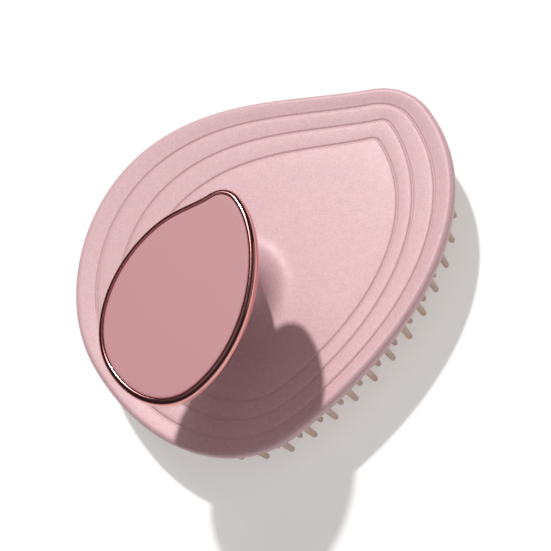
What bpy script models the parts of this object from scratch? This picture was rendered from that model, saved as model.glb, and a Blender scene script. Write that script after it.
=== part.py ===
"""Hand-held scalp massage brush: a drop-shaped shell on silicone bristles with a knob on a flared stem.

Sizes are in millimetres and become metres when a mesh is made. Outlines are drawn round the stem's
axis with the drop's tip towards +X, and the finished brush stands on its bristle tips with the
middle of its shell over the origin. Every outline of one family has the same number of points, so
neighbouring outlines are bridged point to point.
"""
import math
from dataclasses import dataclass

import bmesh
import bpy
from mathutils import Vector

MM = 0.001
GAP = 0.3                         # clearance between pieces that touch or fit together

# Shell: how far it reaches from the stem's axis, and its wall
REACH_LEFT = 42.1
REACH_FAR = 52.8
REACH_NEAR = 41.5
LEFT_Y = 7.3                      # how far each outermost point lies along the other axis
FAR_X = 1.9
NEAR_X = -7.3
TIP_X = 67.9                      # where the two flanks would meet, in front of the rounded tip
TIP_Y = 16.8
FAR_SLOPE = -33.6                 # degrees, directions of the two flanks where they would meet
NEAR_SLOPE = -92.8
FAR_FULLNESS = 0.37
NEAR_FULLNESS = 0.44
SHELL_WALL = 1.8
RIM_HEIGHT = 3.2
RIM_RADIUS = 1.3
RIM_LIP = 0.5                     # chamfer under the rim
DISH = 1.2                        # how far the rim stands above the middle of the shell

# Contour lines engraved in the shell
LINE_COUNT = 3
LINE_DEPTH = 0.25
LINE_HALF_WIDTH = 0.6
LEFT_STEP = (5.4, -1.85)          # how far each anchor of the outline moves from one line to the next
FAR_STEP = (1.3, -7.0)
NEAR_STEP = (1.25, 4.15)
TIP_STEP = (-5.05, -2.35)
SLOPE_STEP = 1.2
TIP_ROUNDINGS = (9.6, 7.0, 2.2, 1.8)
BAND_CROWN = 0.1                  # how far the bands between the lines bulge

# How far the handles of the outline's curves reach, as shares of the stretch they belong to
LEFT_PULL = 0.53
NEAR_PULL = 0.56
LEFT_RETURN = 0.6
FLANK_PULL = 0.8
TIP_PULL = 0.62

# Bristles, pad and base plate, from the ground up
BRISTLE_LENGTH = 11.0
BRISTLE_ROOT = 1.1
BRISTLE_END = 0.75
BRISTLE_POINT = 0.4               # radius and height of the flat end's bevel
BRISTLE_PITCH = 7.0
BRISTLE_SIDES = 6
EDGE_ROWS = (3.3, 5.4)            # distance of the two rows by the rim from the shell's edge
FIELD_PITCH = 10.0
FIELD_INSET = 10.9
PAD_THICKNESS = 1.4
PAD_INSET = 1.8
PAD_BEVEL = 0.4
PLATE_THICKNESS = 2.0
PLATE_SLACK = 0.1                 # added to the clearance all round the base plate
PLATE_BEVEL = 0.5
TONGUE_WIDTH = 2.0
GASKET_WIDTH = 1.3
GASKET_GROOVE = 0.6
OVERLAP = 0.5                     # how far pieces of one moulding run into each other
ANCHOR_RADIUS = 1.6
ANCHOR_HEAD = 2.7
ANCHOR_LEDGE = 1.0
ANCHOR_COUNT = 8
ANCHOR_INSET = 15.0
ANCHOR_SIDES = 12

# Stem
FOOT_RADIUS = 15.5
NECK_RADIUS = 8.4
FLARE_HEIGHT = 8.0
FLARE_POWER = 2.6                 # 2 is a quarter ellipse; more keeps the foot flatter
NECK_TOP = 36.0
STEM_WALL = 2.0
STEM_FLOOR = 2.0
SEAL_LAND = 2.6                   # width of the stem's top round the knob's spigot
SPIGOT_DEPTH = 2.7
FLAT_SHARE = 0.55                 # share of the spigot's wall left by the flat that keys the knob
SEAL_SECTION = 0.42
SEAL_SIDES = 8
SEAL_PROUD = 0.1

# Knob
CAP_LEFT = 28.5
CAP_FAR = 6.3
CAP_NEAR = 32.0
CAP_LEFT_Y = -15.4
CAP_FAR_X = -1.6
CAP_NEAR_X = -15.8
CAP_TIP_X = 15.5
CAP_TIP_Y = 3.2
CAP_FAR_SLOPE = -6.0
CAP_NEAR_SLOPE = -87.5
CAP_FAR_FULLNESS = 0.35
CAP_NEAR_FULLNESS = 0.37
CAP_ROUNDING = 3.8
NECK_BAND = 1.2                   # straight part of the bowl above the stem
BOWL_RISE = 10.3
BOWL_EDGE = 1.2
BRIM_INSET = 1.3                  # from the ring's outside to the bowl's brim
BRIM_ROUND = 0.8
BOWL_HOLLOW = 5.3                 # depth of the hollow under the cap, at the hub
RING_WIDTH = 1.6
RING_HEIGHT = 2.6
RING_ROUND = 1.2
RING_BEVEL = 0.5
CAP_THICKNESS = 1.2
CAP_SINK = 0.15
CAP_BEVEL = 0.2
TAPE_THICKNESS = 0.4
TAPE_WIDTH = 1.8
TAPE_INSET = 0.8
SEAT_WIDTH = 3.0
HUB_WALL = 1.6
HUB_ROOF = 2.0

# Long screw, washer and insert on the stem's axis
SCREW_RADIUS = 2.0
SCREW_HEAD_RADIUS = 3.6
SCREW_HEAD_HEIGHT = 2.4
SCREW_REACH = 5.5                 # how far the screw turns into the insert
SCREW_BEVEL = 0.5
HEAD_SINK = 0.9                   # from the plate's underside up to the screw's head
SOCKET_RADIUS = 1.6
SOCKET_DEPTH = 1.4
WASHER_THICKNESS = 0.6
CUP_WALL = 1.8
CUP_SLACK = 0.2
INSERT_WALL = 0.9
INSERT_LENGTH = 6.5
INSERT_SINK = 1.0
WAIST_DEPTH = 0.35
WAIST_WIDTH = 1.0

# Heights that follow from the sizes above
PAD_BOTTOM = BRISTLE_LENGTH
PAD_TOP = PAD_BOTTOM + PAD_THICKNESS
PLATE_BOTTOM = PAD_TOP + GAP
PLATE_TOP = PLATE_BOTTOM + PLATE_THICKNESS
SHELL_UNDER = PLATE_TOP + GAP
SHELL_TOP = SHELL_UNDER + SHELL_WALL
RIM_TOP = SHELL_TOP + DISH
RIM_BOTTOM = RIM_TOP - RIM_HEIGHT
BOWL_BOTTOM = NECK_TOP + GAP
SPIGOT_BOTTOM = BOWL_BOTTOM - SPIGOT_DEPTH
STEM_RECESS = SPIGOT_BOTTOM - GAP
BOWL_NECK = BOWL_BOTTOM + NECK_BAND
BOWL_BRIM = BOWL_NECK + BOWL_RISE
RING_SEAT = BOWL_BRIM + BOWL_EDGE
RING_BOTTOM = RING_SEAT + GAP
RING_TOP = RING_BOTTOM + RING_HEIGHT
CAP_TOP = RING_TOP - CAP_SINK
CAP_BOTTOM = CAP_TOP - CAP_THICKNESS
TAPE_TOP = CAP_BOTTOM - GAP
TAPE_BOTTOM = TAPE_TOP - TAPE_THICKNESS
CAP_SEAT = TAPE_BOTTOM - GAP
WASHER_RADIUS = SCREW_HEAD_RADIUS + GAP
CUP_RADIUS = WASHER_RADIUS + GAP + CUP_SLACK
HEAD_BOTTOM = PLATE_BOTTOM + HEAD_SINK
HEAD_TOP = HEAD_BOTTOM + SCREW_HEAD_HEIGHT
WASHER_BOTTOM = HEAD_TOP + GAP
CUP_CEILING = WASHER_BOTTOM + WASHER_THICKNESS + GAP
CUP_TOP = CUP_CEILING + CUP_WALL
BORE_RADIUS = SCREW_RADIUS + GAP
INSERT_RADIUS = BORE_RADIUS + INSERT_WALL
SPIGOT_RADIUS = NECK_RADIUS - SEAL_LAND - GAP
SPIGOT_BORE = INSERT_RADIUS + GAP
SPIGOT_FLAT = SPIGOT_BORE + (SPIGOT_RADIUS - SPIGOT_BORE) * FLAT_SHARE
SEAL_RADIUS = (SPIGOT_RADIUS + GAP + NECK_RADIUS) / 2
INSERT_BOTTOM = SPIGOT_BOTTOM + INSERT_SINK
SCREW_TOP = INSERT_BOTTOM + SCREW_REACH
PLATE_INSET = SHELL_WALL + GAP + PLATE_SLACK
HALF_GAP = GAP / 2

# Points along each stretch of an outline: left to far, far to tip, tip, tip to near, near to left
STRETCHES = (11, 9, 5, 9, 10)
TURN_POINTS = 24


@dataclass(frozen=True)
class Drop:
    """A drop outline: three round anchors, the corner its flanks aim at and how much it is rounded."""
    left: tuple
    far: tuple
    near: tuple
    tip: tuple
    far_slope: float              # degrees, direction of the far flank at the tip
    near_slope: float             # degrees, direction of the near flank at the tip
    rounding: float               # where the rounding starts, from the corner along both flanks
    far_fullness: float
    near_fullness: float


def body_drop(line):
    """The shell's outline for line 0, and its contour lines inwards for lines 1, 2 and 3."""
    return Drop(left=stepped((-REACH_LEFT, LEFT_Y), LEFT_STEP, line),
                far=stepped((FAR_X, REACH_FAR), FAR_STEP, line),
                near=stepped((NEAR_X, -REACH_NEAR), NEAR_STEP, line),
                tip=stepped((TIP_X, TIP_Y), TIP_STEP, line),
                far_slope=FAR_SLOPE + SLOPE_STEP * line, near_slope=NEAR_SLOPE - SLOPE_STEP * line,
                rounding=TIP_ROUNDINGS[line], far_fullness=FAR_FULLNESS, near_fullness=NEAR_FULLNESS)


def stepped(start, step, line):
    """An anchor moved by a number of steps."""
    return (start[0] + step[0] * line, start[1] + step[1] * line)


def cap_drop():
    """The outline of the knob's flat cap."""
    return Drop(left=(-CAP_LEFT, CAP_LEFT_Y), far=(CAP_FAR_X, CAP_FAR), near=(CAP_NEAR_X, -CAP_NEAR),
                tip=(CAP_TIP_X, CAP_TIP_Y), far_slope=CAP_FAR_SLOPE, near_slope=CAP_NEAR_SLOPE,
                rounding=CAP_ROUNDING, far_fullness=CAP_FAR_FULLNESS, near_fullness=CAP_NEAR_FULLNESS)


def bezier(start, start_pull, end_pull, end, count):
    """Points on a cubic curve, without its last point."""
    points = []
    for step in range(count):
        t = step / count
        points.append(start * (1 - t) ** 3 + start_pull * 3 * t * (1 - t) ** 2
                      + end_pull * 3 * t * t * (1 - t) + end * t ** 3)
    return points


def outline(drop):
    """Clockwise points of a drop, seen from above."""
    left, far, near, tip = (Vector(p) for p in (drop.left, drop.far, drop.near, drop.tip))
    across, along = Vector((1, 0)), Vector((0, 1))
    far_way = Vector((math.cos(math.radians(drop.far_slope)), math.sin(math.radians(drop.far_slope))))
    near_way = Vector((math.cos(math.radians(drop.near_slope)), math.sin(math.radians(drop.near_slope))))
    tip_far = tip - far_way * drop.rounding
    tip_near = tip + near_way * drop.rounding
    far_pull = (tip_far - far).length * drop.far_fullness
    near_pull = (tip_near - near).length * drop.near_fullness
    points = bezier(left, left + along * (far.y - left.y) * LEFT_PULL,
                    far - across * (far.x - left.x) * LEFT_PULL, far, STRETCHES[0])
    points += bezier(far, far + across * far_pull, tip_far - far_way * far_pull * FLANK_PULL, tip_far,
                     STRETCHES[1])
    points += bezier(tip_far, tip_far + far_way * drop.rounding * TIP_PULL,
                     tip_near - near_way * drop.rounding * TIP_PULL, tip_near, STRETCHES[2])
    points += bezier(tip_near, tip_near + near_way * near_pull * FLANK_PULL,
                     near + across * near_pull, near, STRETCHES[3])
    points += bezier(near, near - across * (near.x - left.x) * NEAR_PULL,
                     left - along * (left.y - near.y) * LEFT_RETURN, left, STRETCHES[4])
    return points


def grown(loop, distance):
    """The outline moved outwards by a distance, or inwards when it is negative."""
    moved = []
    for index, point in enumerate(loop):
        before = (point - loop[index - 1]).normalized()
        after = (loop[(index + 1) % len(loop)] - point).normalized()
        way = (before + after).normalized()
        normal = Vector((-way.y, way.x))
        moved.append(point + normal * distance / max(0.5, math.sqrt((1 + before.dot(after)) / 2)))
    return moved


def ring(loop, radius):
    """A circle round the stem's axis with a point in line with each point of the outline."""
    return [point.normalized() * radius for point in loop]


def flatted(loop, limit):
    """The outline cut off flat at X = limit."""
    return [Vector((min(point.x, limit), point.y)) for point in loop]


def between(first, second, share):
    """The outline part of the way from one outline to another."""
    return [a.lerp(b, share) for a, b in zip(first, second)]


def circle(radius, count=TURN_POINTS):
    """A plain circle round the stem's axis."""
    return [Vector((math.cos(turn), -math.sin(turn))) * radius
            for turn in (2 * math.pi * step / count for step in range(count))]


def hexagon(radius, count=TURN_POINTS):
    """A hexagon with as many points as a plain circle."""
    points = []
    for point in circle(1.0, count):
        turn = math.atan2(point.y, point.x) % (math.pi / 3) - math.pi / 6
        points.append(point * radius * math.cos(math.pi / 6) / math.cos(turn))
    return points


BODY = [outline(body_drop(line)) for line in range(LINE_COUNT + 1)]
CAP = outline(cap_drop())
MIDDLE_X = (max(p.x for p in BODY[0]) + min(p.x for p in BODY[0])) / 2
MIDDLE_Y = (max(p.y for p in BODY[0]) + min(p.y for p in BODY[0])) / 2
STEM_PLACE = Vector((-MIDDLE_X * MM, -MIDDLE_Y * MM, 0))


def clear_scene():
    """Remove every object that the new file starts with."""
    for item in list(bpy.data.objects):
        bpy.data.objects.remove(item, do_unlink=True)


def finish(name, color, roughness, metallic=0.0):
    """A material with one colour, roughness and metallic value."""
    material = bpy.data.materials.get(name) or bpy.data.materials.new(name)
    material.use_nodes = True
    shader = material.node_tree.nodes["Principled BSDF"]
    shader.inputs["Base Color"].default_value = (*color, 1.0)
    shader.inputs["Roughness"].default_value = roughness
    shader.inputs["Metallic"].default_value = metallic
    return material


def pearl():
    """Pearl pink moulded plastic."""
    return finish("pearl_pink", (0.72, 0.45, 0.47), 0.35)


def rose_gold():
    """Rose-gold plating."""
    return finish("rose_gold", (0.80, 0.50, 0.42), 0.12, 1.0)


def mauve():
    """Matt mauve cap."""
    return finish("matt_mauve", (0.58, 0.31, 0.31), 0.6)


def silicone():
    """Beige silicone rubber."""
    return finish("beige_silicone", (0.52, 0.40, 0.31), 0.55)


def hidden_plastic():
    """Uncoated plastic of the pieces inside."""
    return finish("base_plastic", (0.62, 0.45, 0.43), 0.5)


def seal_rubber():
    """Soft rubber of the seals."""
    return finish("seal_rubber", (0.10, 0.09, 0.09), 0.7)


def foam():
    """Double-sided foam tape."""
    return finish("foam_tape", (0.75, 0.75, 0.73), 0.9)


def steel():
    """Stainless steel."""
    return finish("stainless_steel", (0.62, 0.62, 0.60), 0.3, 1.0)


def brass():
    """Brass."""
    return finish("brass", (0.75, 0.55, 0.25), 0.35, 1.0)


def make_object(name, mesh, material):
    """Put a finished bmesh into the scene as a named object on the stem's axis."""
    bmesh.ops.recalc_face_normals(mesh, faces=mesh.faces)
    data = bpy.data.meshes.new(name)
    mesh.to_mesh(data)
    mesh.free()
    data.shade_smooth()
    data.set_sharp_from_angle(angle=math.radians(35))
    data.materials.append(material)
    item = bpy.data.objects.new(name, data)
    item.location = STEM_PLACE
    bpy.context.scene.collection.objects.link(item)
    return item


def add_skin(mesh, rings, closed):
    """Bridge a list of (outline, height) rings; closed joins the last to the first, else both are capped."""
    rows = [[mesh.verts.new((p.x * MM, p.y * MM, height * MM)) for p in loop] for loop, height in rings]
    count = len(rows[0])
    pairs = list(zip(rows, rows[1:]))
    if closed:
        pairs.append((rows[-1], rows[0]))
    else:
        mesh.faces.new(rows[0])
        mesh.faces.new(rows[-1])
    for lower, upper in pairs:
        for index in range(count):
            after = (index + 1) % count
            mesh.faces.new((lower[index], lower[after], upper[after], upper[index]))


def skin(name, rings, material, closed=True):
    """One solid bridged over its rings."""
    mesh = bmesh.new()
    add_skin(mesh, rings, closed)
    return make_object(name, mesh, material)


def top_height(share):
    """Height of the shell's top, from share 0 at its middle to share 1 at its rim."""
    return SHELL_TOP + DISH * share * share


def line_rings(line):
    """The rings of one contour line, from its inner shoulder to its outer one."""
    share = 1 - line / (LINE_COUNT + 1)
    height = top_height(share)
    return [(grown(BODY[line], -LINE_HALF_WIDTH), height),
            (grown(BODY[line], -LINE_HALF_WIDTH * 0.3), height - LINE_DEPTH * 0.75),
            (BODY[line], height - LINE_DEPTH),
            (grown(BODY[line], LINE_HALF_WIDTH * 0.3), height - LINE_DEPTH * 0.75),
            (grown(BODY[line], LINE_HALF_WIDTH), height)]


def band_ring(line):
    """The crown of the band between a contour line and the next outline."""
    share = 1 - (line - 0.5) / (LINE_COUNT + 1)
    return (between(BODY[line], BODY[line - 1], 0.5), top_height(share) + BAND_CROWN)


def rim_rings():
    """The rolled rim, from the top over the edge to the shell's inner wall."""
    rings = []
    for turn in (0, 30, 60, 90):
        angle = math.radians(turn)
        rings.append((grown(BODY[0], -RIM_RADIUS * (1 - math.sin(angle))),
                      RIM_TOP - RIM_RADIUS * (1 - math.cos(angle))))
    rings.append((grown(BODY[0], -RIM_LIP / 5), RIM_BOTTOM + RIM_LIP / 2))
    rings.append((grown(BODY[0], -RIM_LIP), RIM_BOTTOM))
    rings.append((grown(BODY[0], -SHELL_WALL), RIM_BOTTOM))
    rings.append((grown(BODY[0], -SHELL_WALL), RIM_TOP - SHELL_WALL - RIM_LIP / 2))
    rings.append((grown(BODY[0], -SHELL_WALL - RIM_LIP), RIM_TOP - SHELL_WALL))
    return rings


def flare_rings(wall):
    """The trumpet of the stem from its foot to its neck, moved inwards by a wall."""
    rings = []
    reach = FOOT_RADIUS - NECK_RADIUS
    for step in range(7):
        angle = math.radians(15 * step)
        radius = FOOT_RADIUS - reach * math.sin(angle)
        rise = 1 - math.sqrt(max(0.0, 1 - math.sin(angle) ** FLARE_POWER))
        rings.append((ring(BODY[LINE_COUNT], radius - wall * math.sin(angle)),
                      SHELL_TOP + FLARE_HEIGHT * rise - wall * math.cos(angle)))
    return rings


def upper_shell():
    """The shell with its contour lines, rolled rim and hollow stem, in one moulding."""
    inner_line = BODY[LINE_COUNT]
    rings = [(ring(inner_line, NECK_RADIUS), NECK_TOP)]
    rings += reversed(flare_rings(0))
    foot = ring(inner_line, FOOT_RADIUS)
    rings.append((between(foot, grown(inner_line, -LINE_HALF_WIDTH), 0.5), SHELL_TOP))
    for line in range(LINE_COUNT, 0, -1):
        rings += line_rings(line)
        rings.append(band_ring(line))
    rings += rim_rings()
    for line in range(1, LINE_COUNT + 1):
        rings.append((BODY[line], top_height(1 - line / (LINE_COUNT + 1)) - SHELL_WALL))
    rings += flare_rings(SHELL_WALL)
    bore = NECK_RADIUS - STEM_WALL
    ceiling = STEM_RECESS - STEM_FLOOR
    recess = flatted(ring(inner_line, SPIGOT_RADIUS + GAP), SPIGOT_FLAT + GAP)
    rings.append((ring(inner_line, bore), ceiling))
    rings.append((ring(inner_line, BORE_RADIUS), ceiling))
    rings.append((ring(inner_line, BORE_RADIUS), STEM_RECESS))
    rings.append((recess, STEM_RECESS))
    rings.append((recess, NECK_TOP))
    groove = SEAL_SECTION + GAP
    groove_floor = NECK_TOP - 2 * groove + 2 * SEAL_PROUD
    rings.append((ring(inner_line, SEAL_RADIUS - groove), NECK_TOP))
    rings.append((ring(inner_line, SEAL_RADIUS - groove), groove_floor))
    rings.append((ring(inner_line, SEAL_RADIUS + groove), groove_floor))
    rings.append((ring(inner_line, SEAL_RADIUS + groove), NECK_TOP))
    return skin("upper_shell", rings, pearl())


def neck_seal():
    """The O-ring between the stem and the knob."""
    middle = NECK_TOP - SEAL_SECTION - GAP + SEAL_PROUD
    rings = []
    for step in range(SEAL_SIDES):
        angle = 2 * math.pi * step / SEAL_SIDES
        rings.append((circle(SEAL_RADIUS + SEAL_SECTION * math.cos(angle)),
                      middle + SEAL_SECTION * math.sin(angle)))
    return skin("neck_seal", rings, seal_rubber())


def anchor_places():
    """Where the pad's rubber anchors go through the base plate."""
    return spaced(grown(BODY[0], -ANCHOR_INSET), count=ANCHOR_COUNT)


def spaced(loop, pitch=None, count=None, phase=0.0):
    """Evenly spaced points along a closed outline."""
    sides = [(loop[(i + 1) % len(loop)] - loop[i]).length for i in range(len(loop))]
    total = sum(sides)
    count = count or round(total / pitch)
    places = []
    for step in range(count):
        target = total * ((step + phase) / count)
        index = 0
        while target > sides[index]:
            target -= sides[index]
            index += 1
        places.append(loop[index].lerp(loop[(index + 1) % len(loop)], target / sides[index]))
    return places


def edge_distance(point, loop):
    """Signed distance of a point from an outline, positive inside."""
    nearest = math.inf
    inside = False
    for index, start in enumerate(loop):
        end = loop[(index + 1) % len(loop)]
        side = end - start
        share = max(0.0, min(1.0, (point - start).dot(side) / side.length_squared))
        nearest = min(nearest, (point - start - side * share).length)
        if (start.y > point.y) != (end.y > point.y):
            if point.x < start.x + side.x * (point.y - start.y) / side.y:
                inside = not inside
    return nearest if inside else -nearest


def bristle_places():
    """Two staggered rows by the rim and a staggered field inside them."""
    first_row = grown(BODY[0], -EDGE_ROWS[0])
    places = spaced(first_row, pitch=BRISTLE_PITCH)
    halfway = spaced(first_row, count=len(places), phase=0.5)
    places += grown(halfway, EDGE_ROWS[0] - EDGE_ROWS[1])
    lane_pitch = FIELD_PITCH * math.sqrt(3) / 2
    lanes = math.ceil(REACH_FAR / lane_pitch)
    for lane in range(-lanes, lanes + 1):
        for place in range(-2 * lanes, 2 * lanes + 1):
            point = Vector((MIDDLE_X + (place + (lane % 2) / 2) * FIELD_PITCH, MIDDLE_Y + lane * lane_pitch))
            if edge_distance(point, BODY[0]) >= FIELD_INSET:
                places.append(point)
    return places


def cutter(name, pins, profile, sides):
    """Round pins of one profile of (radius, height), all in one object that isn't part of the brush."""
    mesh = bmesh.new()
    for place in pins:
        rings = [([place + p for p in circle(radius, sides)], height) for radius, height in profile]
        add_skin(mesh, rings, closed=False)
    tool = make_object(name, mesh, hidden_plastic())
    tool.hide_render = True
    tool.display_type = "WIRE"
    return tool


def combine(item, tool, operation):
    """Join a tool to an object, or cut it out."""
    modifier = item.modifiers.new(tool.name, "BOOLEAN")
    modifier.operation = operation
    modifier.solver = "EXACT"
    modifier.object = tool


def bristle_pad():
    """The silicone pad with its bristles below and its anchors above, in one moulding."""
    edge = grown(BODY[0], -PAD_INSET)
    pad = skin("bristle_pad", [(grown(edge, -PAD_BEVEL), PAD_BOTTOM), (edge, PAD_BOTTOM + PAD_BEVEL),
                               (edge, PAD_TOP)], silicone(), closed=False)
    bristle = [(BRISTLE_END - BRISTLE_POINT, 0.0), (BRISTLE_END, BRISTLE_POINT),
               (BRISTLE_ROOT, PAD_BOTTOM - OVERLAP), (BRISTLE_ROOT, PAD_BOTTOM + OVERLAP)]
    combine(pad, cutter("bristle_tool", bristle_places(), bristle, BRISTLE_SIDES), "UNION")
    head_bottom = PLATE_BOTTOM + ANCHOR_LEDGE + GAP
    head_top = SHELL_UNDER - GAP
    anchor = [(ANCHOR_RADIUS, PAD_TOP - OVERLAP), (ANCHOR_RADIUS, head_bottom),
              (ANCHOR_HEAD, head_bottom), (ANCHOR_HEAD - GAP, head_top)]
    combine(pad, cutter("anchor_tool", anchor_places(), anchor, ANCHOR_SIDES), "UNION")
    return pad


def base_plate():
    """The plate that closes the shell from below, with a tongue in the rim and a cup for the screw."""
    edge = grown(BODY[0], -PLATE_INSET)
    groove_outer = grown(edge, -TONGUE_WIDTH)
    groove_inner = grown(groove_outer, -GASKET_WIDTH - 2 * GAP)
    tongue_top = RIM_TOP - SHELL_WALL - GAP
    tongue_inner_top = top_height(1 - 1 / (LINE_COUNT + 1)) - SHELL_WALL - GAP
    groove_floor = PLATE_TOP - GASKET_GROOVE
    outer_cup = CUP_RADIUS + CUP_WALL
    rings = [(grown(edge, -PLATE_BEVEL), PLATE_BOTTOM), (edge, PLATE_BOTTOM + PLATE_BEVEL),
             (edge, tongue_top - PLATE_BEVEL), (grown(edge, -PLATE_BEVEL), tongue_top),
             (groove_outer, tongue_inner_top),
             (groove_outer, groove_floor), (groove_inner, groove_floor), (groove_inner, PLATE_TOP),
             (ring(BODY[0], outer_cup), PLATE_TOP), (ring(BODY[0], outer_cup), CUP_TOP),
             (ring(BODY[0], BORE_RADIUS), CUP_TOP), (ring(BODY[0], BORE_RADIUS), CUP_CEILING),
             (ring(BODY[0], CUP_RADIUS), CUP_CEILING), (ring(BODY[0], CUP_RADIUS), PLATE_BOTTOM)]
    plate = skin("base_plate", rings, hidden_plastic())
    hole = [(ANCHOR_RADIUS + GAP, PLATE_BOTTOM - OVERLAP), (ANCHOR_RADIUS + GAP, PLATE_BOTTOM + ANCHOR_LEDGE),
            (ANCHOR_HEAD + GAP, PLATE_BOTTOM + ANCHOR_LEDGE), (ANCHOR_HEAD + GAP, PLATE_TOP + OVERLAP)]
    combine(plate, cutter("anchor_hole_tool", anchor_places(), hole, ANCHOR_SIDES), "DIFFERENCE")
    return plate


def under_height(inset):
    """Height of the shell's underside at an inset from its edge, on the side where the lines are closest."""
    return top_height(1 - inset / NEAR_STEP[1] / (LINE_COUNT + 1)) - SHELL_WALL


def base_gasket():
    """The flat seal between the base plate and the shell."""
    inset = PLATE_INSET + TONGUE_WIDTH + GAP
    outer = grown(BODY[0], -inset)
    inner = grown(outer, -GASKET_WIDTH)
    bottom = PLATE_TOP - GASKET_GROOVE + GAP
    top = under_height(inset + GASKET_WIDTH) - GAP
    return skin("base_gasket", [(outer, bottom), (outer, top), (inner, top), (inner, bottom)], seal_rubber())


def bowl_height(turn):
    """Height of the knob's underside, from the neck at 0 degrees to the brim at 90."""
    return BOWL_NECK + BOWL_RISE * math.sin(math.radians(turn))


def bowl_outline(turn):
    """Outline of the knob's underside at a turn from 0 at the neck to 90 at the brim."""
    lower = grown(CAP, RING_WIDTH - BRIM_INSET - BRIM_ROUND)
    return between(ring(CAP, NECK_RADIUS), lower, 1 - math.cos(math.radians(turn)))


def knob_bowl():
    """The knob's lower half, with a flatted spigot in the stem and a hub for the brass insert."""
    brim = grown(CAP, RING_WIDTH - BRIM_INSET)
    spigot = flatted(ring(CAP, SPIGOT_RADIUS), SPIGOT_FLAT)
    insert_hole = ring(CAP, SPIGOT_BORE)
    top_hole = ring(CAP, BORE_RADIUS)
    hub = ring(CAP, SPIGOT_BORE + HUB_WALL)
    seat_edge = grown(CAP, -SEAT_WIDTH)
    shoulder = INSERT_BOTTOM + INSERT_LENGTH + GAP
    rings = [(insert_hole, SPIGOT_BOTTOM), (spigot, SPIGOT_BOTTOM), (spigot, BOWL_BOTTOM),
             (ring(CAP, NECK_RADIUS), BOWL_BOTTOM)]
    rings += [(bowl_outline(turn), bowl_height(turn)) for turn in range(0, 91, 15)]
    corner = BRIM_ROUND * (1 - math.sqrt(0.5))
    rings += [(grown(brim, -corner), BOWL_BRIM + corner), (brim, BOWL_BRIM + BRIM_ROUND), (brim, RING_SEAT),
              (grown(CAP, -HALF_GAP), RING_SEAT), (grown(CAP, -HALF_GAP), CAP_SEAT), (seat_edge, CAP_SEAT)]
    rings += [(between(hub, seat_edge, share), CAP_SEAT - BOWL_HOLLOW * (1 - share) ** 2 - GAP)
              for share in (1.0, 0.75, 0.5, 0.25, 0.0)]
    rings += [(hub, shoulder + HUB_ROOF), (top_hole, shoulder + HUB_ROOF), (top_hole, shoulder),
              (insert_hole, shoulder)]
    return skin("knob_bowl", rings, pearl())


def knob_ring():
    """The plated ring round the cap, rounded towards the outside."""
    outer = grown(CAP, RING_WIDTH)
    inner = grown(CAP, HALF_GAP)
    rings = [(inner, RING_BOTTOM), (grown(outer, -RING_BEVEL), RING_BOTTOM),
             (grown(outer, -RING_BEVEL / 5), RING_BOTTOM + RING_BEVEL)]
    for turn in (0, 30, 60, 85):
        angle = math.radians(turn)
        rings.append((grown(outer, -RING_ROUND * (1 - math.cos(angle))),
                      RING_TOP - RING_ROUND * (1 - math.sin(angle))))
    rings.append((inner, RING_TOP - RING_BEVEL / 10))
    return skin("knob_ring", rings, rose_gold())


def knob_cap():
    """The flat cap inside the ring."""
    edge = grown(CAP, -HALF_GAP)
    rings = [(edge, CAP_BOTTOM), (edge, CAP_TOP - CAP_BEVEL), (grown(edge, -CAP_BEVEL), CAP_TOP)]
    return skin("knob_cap", rings, mauve(), closed=False)


def cap_tape():
    """The foam tape under the cap's edge."""
    outer = grown(CAP, -TAPE_INSET)
    inner = grown(outer, -TAPE_WIDTH)
    rings = [(outer, TAPE_BOTTOM), (outer, TAPE_TOP), (inner, TAPE_TOP), (inner, TAPE_BOTTOM)]
    return skin("cap_tape", rings, foam())


def stem_screw():
    """The long screw that clamps the base plate, shell and knob together."""
    rings = [(hexagon(SOCKET_RADIUS), HEAD_BOTTOM + SOCKET_DEPTH), (hexagon(SOCKET_RADIUS), HEAD_BOTTOM),
             (circle(SCREW_HEAD_RADIUS - SCREW_BEVEL), HEAD_BOTTOM),
             (circle(SCREW_HEAD_RADIUS), HEAD_BOTTOM + SCREW_BEVEL),
             (circle(SCREW_HEAD_RADIUS), HEAD_TOP), (circle(SCREW_RADIUS), HEAD_TOP),
             (circle(SCREW_RADIUS), SCREW_TOP - SCREW_BEVEL), (circle(SCREW_RADIUS - SCREW_BEVEL), SCREW_TOP)]
    return skin("stem_screw", rings, steel(), closed=False)


def stem_washer():
    """The washer under the long screw's head."""
    top = WASHER_BOTTOM + WASHER_THICKNESS
    rings = [(circle(WASHER_RADIUS), WASHER_BOTTOM), (circle(WASHER_RADIUS), top),
             (circle(BORE_RADIUS), top), (circle(BORE_RADIUS), WASHER_BOTTOM)]
    return skin("stem_washer", rings, steel())


def knob_insert():
    """The threaded brass insert in the knob's hub, with a waist that the plastic grips."""
    top = INSERT_BOTTOM + INSERT_LENGTH
    waist = INSERT_RADIUS - WAIST_DEPTH
    middle = (INSERT_BOTTOM + top) / 2
    shoulder = (WAIST_WIDTH + WAIST_DEPTH) / 2
    rings = [(circle(BORE_RADIUS), INSERT_BOTTOM), (circle(INSERT_RADIUS), INSERT_BOTTOM),
             (circle(INSERT_RADIUS), middle - shoulder), (circle(waist), middle - WAIST_WIDTH / 2),
             (circle(waist), middle + WAIST_WIDTH / 2), (circle(INSERT_RADIUS), middle + shoulder),
             (circle(INSERT_RADIUS), top), (circle(BORE_RADIUS), top)]
    return skin("knob_insert", rings, brass())


def build():
    """Make every piece of the brush."""
    clear_scene()
    for make in (upper_shell, neck_seal, base_plate, base_gasket, bristle_pad, stem_screw, stem_washer,
                 knob_bowl, knob_insert, knob_ring, cap_tape, knob_cap):
        make()


build()
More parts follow.
